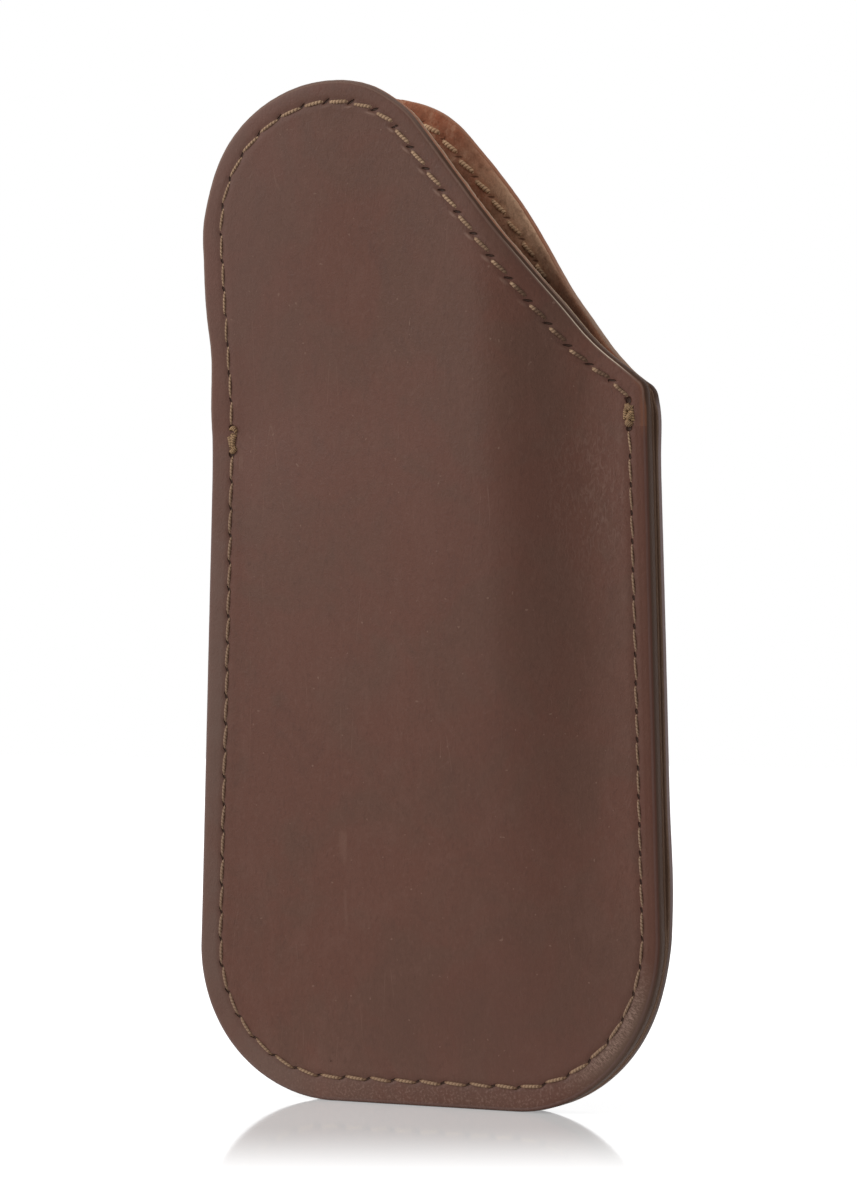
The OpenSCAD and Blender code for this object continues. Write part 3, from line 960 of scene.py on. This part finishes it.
def wallColour(n, look, here):
    # A burnished wall with fine grooves along it, raw on the inner half of the lips
    count, dyed, sewn = here["count"], here["dyed"], here["sewn"]
    lipWall = n.mix(n.remap(count, *look["tabWallFrom"]), look["lipWall"], look["tabWall"])
    burnished = n.paint(n.mix(here["open"], look["seamWall"], lipWall), look, here, wallCoats)
    fromCorner = n.times(count, n.remap(dyed, 0.0, 1.0, look["undyedReach"], 1.0))
    dark = n.most(n.times(dyed, n.most(sewn, n.soften(here["rim"], *look["rawFrom"]))),
                  n.times(here["nearShoulder"], n.remap(dyed, 0.0, 1.0, *look["shoulderDark"])),
                  n.remap(fromCorner, *look["cornerDark"]))
    raw = n.mix(n.times(here["nearShoulder"], look["cutShare"]), look["raw"], look["cutLine"])
    return n.mix(dark, raw, burnished)


def makeLeather():
    look = leatherLook
    material, n, shader = newMaterial("oiledLeather")
    here = readSheet(n)
    count, rim, across = here["count"], here["rim"], here["across"]
    n.mottles(here, look["noises"])
    wide, high = look["marginScale"]
    here["creases"] = n.mottle(n.join(n.times(count, wide), n.times(across, high)),
                               *look["creases"])
    wide, high = look["wallScale"]
    here["grooves"] = n.mottle(n.join(n.times(rim, wide), n.times(count, high), here["dyed"]),
                               *look["grooves"])
    here["outside"] = n.area(here, ["sewn", ("across", 0.6, -1.0)])
    here["belowShoulder"] = n.most(n.remap(count, *look["seamTop"]),
                                   n.remap(count, *look["seamTopEnd"]))
    here["nearShoulder"] = n.remap(count, *look["nearShoulder"])
    base = n.mix(n.soften(here["drift"], *look["twoBrowns"]), look["olive"], look["red"])
    base = n.paint(base, look, here, hideCoats)
    # The undyed lips of the back are raw from the top of their round edge on.
    over = n.total((rim, 1.0), (n.remap(here["dyed"], 1.0, 0.0), look["undyedLead"]),
                   (here["sewn"], look["sewnLag"]))
    base = n.mix(n.soften(over, *look["wallFrom"]), base, wallColour(n, look, here))
    # A painted highlight, with some wear, along the top of the rounded edge
    bevel = n.mix(here["open"], look["bevel"], look["lipBevelHighlight"])
    base = n.mix(n.area(here, wornAndLitBevel), base, bevel)
    base = n.paint(base, look, here, edgeCoats)
    onWall = n.remap(rim, *look["roughFrom"])
    rough = n.remap(here["smudge"], 0.3, 0.7, *look["roughness"])
    rough = n.remap(onWall, 0.0, 1.0, rough, look["edgeRoughness"])
    n.tree.links.new(rough, shader.inputs["Roughness"])
    grooves = n.times(onWall, here["grooves"])
    relief = n.total((here["relief"], 1.0), (grooves, look["grooveRelief"]))
    finishMaterial(n, shader, look, base, [(relief, "grainDepth"), (here["dent"], "holeDepth")])
    return material


suedeLook = {
    "plain": colour(150, 106, 84),
    "rust": colour(160, 95, 68),
    "dull": colour(156, 114, 88),
    "dark": colour(112, 74, 56),
    "pale": colour(196, 154, 126),
    "rubbed": colour(232, 188, 154),    # painted light, paler, at the lip above the pen
    "unworn": colour(144, 86, 64),      # at the top of the lip
    "shaded": colour(112, 72, 54),
    "edge": colour(200, 172, 146),
    "dyed": colour(88, 66, 53),
    # hole: painted shade inside the needle holes
    "hole": colour(62, 36, 26),
    "shader": {"Roughness": 0.95, "Specular IOR Level": 0.1, "Sheen Weight": 0.3,
               "Sheen Roughness": 0.5, "Sheen Tint": colour(235, 195, 165)},
    "napDepth": 0.0002,
    "twoBrowns": (0.38, 0.6),
    "grain": {"Pore Scale": 1900.0, "Crease Scale": 460.0},
    "noises": {"brushed": (1300.0, 4.0, 0.7, 0.0, (1.0, 1.0, 0.4), 0.5),
               "blotches": (620.0, 3.0, 0.6)},
}
suedeCoats = [
    ("plain", 0.8, ("smudge", 0.4, 0.7)),
    # Painted light on the lip's margin above the pen, where more light reaches in
    ("rubbed", 1.0, ("z", 0.167, 0.151), ("z", 0.136, 0.147),
     ("across", 1.0, -1.6, 0.25, 0.95, "soft")),
    ("unworn", 0.5, ("z", 0.16, 0.166)),
    # Partly painted shade and partly a darker rust, inside the stitch line of the lips
    ("dark", 0.3, "open", ("across", 0.2, 1.6)),
    ("dark", 0.42, ("blotches", 0.5, 0.68)),
    ("pale", 0.4, ("blotches", 0.47, 0.32)),
    ("edge", 0.6, "flecks"),
    ("dark", 0.32, ("brushed", 0.5, 0.75)),
    ("pale", 0.32, ("brushed", 0.46, 0.26)),
    ("shaded", 0.7, ("count", 9.0, 5.0), ("count", 2.5, 5.0, 0.3, 1.0)),
    ("dyed", 0.9, ("count", 1.8, 0.9)),
    ("dyed", 1.0, "sewn", ("rim", 0.0, 0.5)),
    ("edge", 1.0, "open", "dyed", ("rim", 1.0, 1.35, "soft"), ("count", 1.0, 4.0)),
    # Needle holes painted dark, as shade inside them
    ("hole", 0.7, "hole"),
]


def makeSuede():
    look = suedeLook
    material, n, shader = newMaterial("nappedSuede")
    here = readSheet(n, look["grain"])
    n.mottles(here, look["noises"])
    base = n.mix(n.soften(here["drift"], *look["twoBrowns"]), look["dull"], look["rust"])
    base = n.paint(base, look, here, suedeCoats)
    nap = n.chain("ADD", here["brushed"], here["blotches"], here["relief"])
    finishMaterial(n, shader, look, base, [(nap, "napDepth")])
    return material


threadLook = {
    "light": colour(176, 146, 118),
    # valley: painted shade between the plies
    "valley": colour(120, 92, 71),
    "dirt": colour(138, 110, 88),
    "golden": colour(153, 126, 101),    # along the foot
    "muted": colour(144, 118, 99),      # down the sides
    "rubbed": colour(94, 70, 56),       # darker, next to the shoulder, but for the end of a stitch
    "twists": 7.0,
    "shader": {"Roughness": 0.7, "Specular IOR Level": 0.15},
    "plyDepth": 0.00011,
    "fibreRelief": 0.3,         # share of the plies' own
    "plyRim": (0.1, 0.7),
    "lastEnd": (0.74, 0.86),    # shares of a stitch's length between which an end darkens with painted shade
    "firstEnd": (0.22, 0.1),
    "noises": {"fibres": (5200.0, 2.0, 0.7), "stains": (260.0, 3.0, 0.65)},
}
# A paler copy of the thread for the inner row: painted light reaching into the pocket
litInnerThreadLook = {**threadLook, "light": colour(222, 184, 146), "valley": colour(146, 106, 78),
                   "dirt": colour(182, 142, 110)}
# The knots' valleys are painted darker, as shade in the gaps between them
knottedThreadLook = {**threadLook, "light": colour(174, 141, 105), "valley": colour(66, 46, 32),
                     "muted": colour(172, 139, 105)}
freshCoats = [
    ("golden", 1.0, ("z", 0.045, 0.02)),
    ("muted", 0.8, ("aside", 0.028, 0.036), ("z", 0.112, 0.104)),
]
wornAndShadedCoats = [
    ("dirt", 0.6, ("stains", 0.42, 0.64)),
    ("valley", 0.35, ("fibres", 0.5, 0.8)),
    ("rubbed", 0.9, ("x", 0.0, 0.01), ("z", 0.153, 0.138), ("z", 0.119, 0.1215),
     ("along", 0.76, 0.58, "soft")),
    # Painted shade where the stitches' ends dive into their holes along the foot
    ("valley", 0.85, "ends", ("z", 0.0135, 0.011)),
]


def makeThread(name, look):
    # The coats read the place in metres, and the share of a stitch's length as along.
    material, n, shader = newMaterial(name)
    here = {"place": n.objectPlace()}
    here["x"], here["y"], here["z"] = n.split(here["place"])
    along, around = n.split(n.uvPlace("thread"))[:2]
    here["along"] = along
    here["aside"] = n.absolute(here["x"])
    n.mottles(here, look["noises"])
    here["ends"] = n.most(n.soften(along, *look["lastEnd"]), n.soften(along, *look["firstEnd"]))
    turn = n.calc("SUBTRACT", n.times(along, look["twists"]), around)
    ply = n.absolute(n.calc("SINE", n.times(turn, math.pi)))
    fresh = n.paint(look["light"], look, here, freshCoats)
    # The valleys between the plies are painted darker, as shade
    base = n.mix(n.soften(ply, *look["plyRim"]), look["valley"], fresh)
    base = n.paint(base, look, here, wornAndShadedCoats)
    relief = n.total((ply, 1.0), (here["fibres"], look["fibreRelief"]))
    finishMaterial(n, shader, look, base, [(relief, "plyDepth")])
    return material


oiledLeather, nappedSuede = makeLeather(), makeSuede()
twistedThread = makeThread("twistedThread", threadLook)
litInnerThread = makeThread("litInnerThread", litInnerThreadLook)
knottedThread = makeThread("knottedThread", knottedThreadLook)
print("materials ready")


thread = {
    "sides": 8,
    "segments": 6,
    "thinning": 0.42,           # of the ends
    "thinPower": 4.0,
    "dive": 2.0,                # of the ends below the middle, in thread radii
    "divePower": 3.2,
    "height": 0.0,              # of the thread's middle line over the leather
    "raisedInside": 0.1,        # more than that on the nap of the lining
    "fullerInside": 1.28,       # share of the width there
    "shakeTurn": 1.6,           # degrees
    "shakeShift": 0.05,
    "shakeSize": 0.06,
    "probe": 0.6,               # distance over which the surface's slope is read
}


def makeStitchShape():
    # One arched stitch along x from -1 to 1 and one thread radius high; its ends
    # thin out and dive into the holes.
    t = thread
    bm = bmesh.new()
    uv = bm.loops.layers.uv.new("thread")
    bmesh.ops.create_cone(bm, cap_ends=True, segments=t["sides"], radius1=1, radius2=1, depth=2,
                          matrix=Matrix.Rotation(math.radians(90), 4, "Y"))
    long = [e for e in bm.edges if abs(e.verts[0].co.x - e.verts[1].co.x) > 1]
    bmesh.ops.subdivide_edges(bm, edges=long, cuts=t["segments"] - 1)
    for face in bm.faces:
        turns = [math.atan2(loop.vert.co.y, loop.vert.co.z) / (2 * math.pi) for loop in face.loops]
        wraps = max(turns) - min(turns) > 0.5
        for loop, turn in zip(face.loops, turns):
            loop[uv].uv = (loop.vert.co.x / 2 + 0.5, turn + (1 if wraps and turn < 0 else 0))
    for vertex in bm.verts:
        along = abs(vertex.co.x)
        thin = 1 - t["thinning"] * along ** t["thinPower"]
        vertex.co.y *= thin
        vertex.co.z = vertex.co.z * thin - t["dive"] * along ** t["divePower"]
    mesh = bpy.data.meshes.new("stitchShape")
    bm.to_mesh(mesh)
    bm.free()
    return mesh


stitchShape = makeStitchShape()


def addStitch(bm, start, end, up, width, slant, lift, bow, rng):
    # Lays a copy of the stitch from start to end, in metres, with a little unevenness;
    # bow bends its middle sideways, in thread radii.
    t = thread
    first = len(bm.verts)
    bm.from_mesh(stitchShape)
    bm.verts.ensure_lookup_table()
    for vertex in bm.verts[first:]:
        vertex.co.y += bow * (1 - vertex.co.x ** 2)
    ahead = (end - start).normalized()
    upright = (up - ahead * up.dot(ahead)).normalized()
    turn = Matrix.Rotation(math.radians(slant + rng.uniform(-1, 1) * t["shakeTurn"]), 3, upright)
    ahead = turn @ ahead
    sideways = upright.cross(ahead)
    radius = width / 2 * (1 + rng.uniform(-1, 1) * t["shakeSize"])
    middle = (start + end) / 2 + sideways * rng.uniform(-1, 1) * t["shakeShift"] * mm
    place = Matrix((ahead * (end - start).length / 2, sideways * radius, upright * radius))
    place = place.transposed().to_4x4()
    place.translation = middle + upright * lift
    bmesh.ops.transform(bm, matrix=place, verts=bm.verts[first:])


def surfaceFrame(count, panel, height, inPocket):
    # Place on the surface at a stitch count, and the direction that faces out of it.
    side, step = panel["side"], thread["probe"]
    lineS = np.mod(np.interp(count, countKeys, countPlaces), lineLength)
    s = np.array([np.interp(lineS, lineLengths, lineEdge)])
    point = np.array([np.interp(lineS, lineLengths, column) for column in linePoints.T])
    point = point + (alongEdge(edgeInward, s) * trimAt(s, panel["rowShift"]))[0]
    probes = np.array([point, point + [step, 0], point + [0, step]])
    rise = standOut(probes, panel["seed"])
    place = Vector(toWorld(probes[:1], rise[:1] + height, side)[0])
    slopeX, slopeY = (rise[1:] - rise[0]) / step
    up = Vector((-slopeX, side, -slopeY)).normalized()
    return place, -up if inPocket else up


def makeStitches(name, panel, sheet, counts=(), knots=()):
    # counts are the stitches of a plain row; knots are (count, shift along, shift
    # across, lift, length, slant, width, bow) for the doubled stitches at a seam's end.
    st, height, inPocket = stitching, sheet["face"], sheet["facesPocket"]
    rng = random.Random(name)
    bm = bmesh.new()
    raised, fuller = (thread["raisedInside"], thread["fullerInside"]) if inPocket else (0, 1)
    rows = [(n, 0, 0, raised, 1.0, settingAt(n, threadSlant), settingAt(n, threadWidth) * fuller,
             0) for n in counts]
    handed = panel["side"] * (-1 if inPocket else 1)
    for count, shift, sideShift, lift, length, slant, width, bow in [*rows, *knots]:
        half = (0.5 - st["gap"] / st["pitch"] / 2) * length
        start, upA = surfaceFrame(count + shift - half, panel, height, inPocket)
        end, upB = surfaceFrame(count + shift + half, panel, height, inPocket)
        up = (upA + upB).normalized()
        across = up.cross((end - start).normalized()) * sideShift * -handed * mm
        addStitch(bm, start + across, end + across, up, st["width"] * width * mm,
                  -slant * handed, (thread["height"] + lift) * mm, bow, rng)
    bmesh.ops.recalc_face_normals(bm, faces=bm.faces)
    return finishMesh(bm, name)


def dress(piece, material, node):
    piece.data.materials.append(material)
    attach(piece, "root")
    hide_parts(node)


tackKnots = {
    "left": [(-0.3, 0.1, 0.22, 0.46, 64, 1.6, 1.9), (-0.04, 0.68, 0.1, 0.6, -13, 1.4, -1.0),
             (0.06, -0.6, 0.12, 0.62, 14, 1.45, 1.0), (0.28, 0.1, 0.14, 0.46, -50, 1.6, 1.0),
             (0.02, 0.04, 0.06, 0.84, 3, 1.4, 0.3)],
    "right": [(0.32, -0.34, 0.06, 0.36, 64, 1.8, 1.1), (0.26, 0.68, 0.1, 0.34, -10, 1.7, -1.0),
              (0.0, 0.3, 0.22, 0.42, -38, 1.9, -1.0), (-0.26, -0.18, 0.12, 0.4, 44, 2.0, 0.8),
              (-0.02, -0.78, 0.0, 0.74, 6, 1.4, 0.6), (0.0, 0.86, -0.03, 0.6, -4, 1.25, -0.5)],
}

sheets = [
    # name, rings, material, slot and the node that it replaces
    ("Leather", leather, oiledLeather, "outer_leather", "{}_shell"),
    ("Lining", suede, nappedSuede, "suede_lining", "{}_lining"),
]
rows = [
    # name, sheet, stitches, material and the node that it replaces
    ("SeamThread", leather, range(lips + 2, stitchTotal), twistedThread, "seam_thread_{}"),
    ("LipThreadOutside", leather, range(1, lips + 1), twistedThread, "{}_lip_thread_outside"),
    ("LipThreadInside", suede, range(1, lips + 1), litInnerThread, "{}_lip_thread_inside"),
]
for panelName, panel in panels.items():
    for part, sheet, material, slotName, node in sheets:
        dress(makeSheet(panelName + part, panel, sheet), material,
              node.format(panelName))
    for part, sheet, counts, material, node in rows:
        dress(makeStitches(panelName + part, panel, sheet, counts), material,
              node.format(panelName))
    print(panelName, "panel made")

for tackName, count in (("left", lips + 1), ("right", 0)):
    knots = [(count, *knot) for knot in tackKnots[tackName]]
    bm = bmesh.new()
    for panelName, panel in panels.items():
        half = makeStitches(tackName + "Tack" + panelName, panel, leather, knots=knots)
        bm.from_mesh(half.data)
        bpy.data.objects.remove(half)
    tack = finishMesh(bm, tackName + "Backtack")
    dress(tack, knottedThread, tackName + "_backtack")
print("stitches made")


camera = {
    "azimuth": 25.118,          # degrees round from the front, to the right
    "distance": 0.62026,
    "height": 0.08027,
    "lens": 108.8,              # millimetres, on a sensor this wide
    "sensor": 36.0,
    "pitch": 0.546,             # degrees up and to the left
    "yaw": 0.0364,
    "reach": (0.05, 20.0),      # nearest and farthest that it sees
}

studio = {
    "floorHalf": 1.5,
    "floorGlow": 0.8,           # share of the floor's white that doesn't need lamps
    "floorFade": (0.08, 0.3),   # distances from the case between which that share grows to 1
    "floorPale": colour(200, 200, 200),
    "floorRoughness": 0.9,
    "reflection": 0.6,
    "reflectionBlur": 0.07,
    "reflectionFade": (0.025, 0.1),     # distances in front of the case
    "reflectionBehind": (-0.05, -0.01),
    "reflectionSide": (0.06, 0.044),    # distances to the left and right of it
    "ambient": 0.34,
    "lamps": [
        # name, place, size, watts
        ("keySoftbox", (-0.75, -0.85, 0.62), 0.75, 10.2),
        ("fillSoftbox", (0.85, -0.75, 0.35), 0.8, 0.9),
        ("topSoftbox", (-0.05, 0.1, 0.95), 0.7, 1.2),
    ],
    "target": (0.0, 0.0, 0.085),
}
white = (1.0, 1.0, 1.0, 1.0)


def makeFloor():
    bm = bmesh.new()
    bmesh.ops.create_grid(bm, x_segments=1, y_segments=1, size=studio["floorHalf"])
    floor = finishMesh(bm, "floor")
    material, n, shader = newMaterial("paleFloor")
    x, y = n.split(n.objectPlace())[:2]
    # A sheen in front of the case that mirrors its foot and fades out
    angle = math.radians(camera["azimuth"])
    out = n.total((x, math.sin(angle)), (y, -math.cos(angle)))
    side = n.absolute(n.total((x, math.cos(angle)), (y, math.sin(angle))))
    mirror = n.times(n.soften(out, *studio["reflectionFade"], studio["reflection"], 0.0),
                     n.soften(out, *studio["reflectionBehind"]),
                     n.soften(side, *studio["reflectionSide"]))
    glow = n.soften(n.distance(x, y), *studio["floorFade"], studio["floorGlow"], 1.0)
    seen = n.add("LightPath").outputs
    shown = n.most(seen["Is Camera Ray"], seen["Is Glossy Ray"])
    shader.inputs["Base Color"].default_value = studio["floorPale"]
    shader.inputs["Roughness"].default_value = studio["floorRoughness"]
    shader.inputs["Specular IOR Level"].default_value = 0.0     # its sheen is mixed in below
    shader.inputs["Emission Color"].default_value = white
    n.tree.links.new(n.times(shown, glow), shader.inputs["Emission Strength"])
    gloss = n.add("BsdfGlossy", {"Color": white, "Roughness": studio["reflectionBlur"]})
    mixed = n.add("MixShader", {0: mirror, 1: shader.outputs[0], 2: gloss.outputs[0]})
    n.tree.links.new(mixed.outputs[0], n.tree.nodes["Material Output"].inputs["Surface"])
    floor.data.materials.append(material)


def makeWorld():
    world = bpy.data.worlds.new("paleStudio")
    bpy.context.scene.world = world
    world.use_nodes = True
    n = Nodes(world.node_tree)
    seen = n.add("LightPath").outputs
    shown = n.most(*[seen[f"Is {kind} Ray"] for kind in ("Camera", "Glossy", "Transmission")])
    background = n.tree.nodes["Background"]
    background.inputs["Color"].default_value = white
    n.tree.links.new(n.remap(shown, 0.0, 1.0, studio["ambient"], 1.0),
                     background.inputs["Strength"])


def makeLamps():
    for name, place, size, watts in studio["lamps"]:
        lamp = bpy.data.lights.new(name, "AREA")
        lamp.shape = "DISK"
        lamp.size = size
        lamp.energy = watts
        thing = bpy.data.objects.new(name, lamp)
        thing.location = place
        aim = Vector(studio["target"]) - Vector(place)
        thing.rotation_euler = aim.to_track_quat("-Z", "Y").to_euler()
        bpy.context.collection.objects.link(thing)


def makeCamera():
    c = camera
    data = bpy.data.cameras.new("camera")
    data.sensor_width = c["sensor"]
    data.lens = c["lens"]
    data.clip_start, data.clip_end = c["reach"]
    thing = bpy.data.objects.new("camera", data)
    angle = math.radians(c["azimuth"])
    thing.location = (math.sin(angle) * c["distance"], -math.cos(angle) * c["distance"],
                      c["height"])
    thing.rotation_euler = (math.radians(90 + c["pitch"]), 0,
                            math.radians(c["azimuth"] + c["yaw"]))
    bpy.context.collection.objects.link(thing)
    bpy.context.scene.camera = thing


makeFloor()
makeWorld()
makeLamps()
makeCamera()
bpy.context.scene.view_settings.view_transform = "Standard"
print("studio ready")
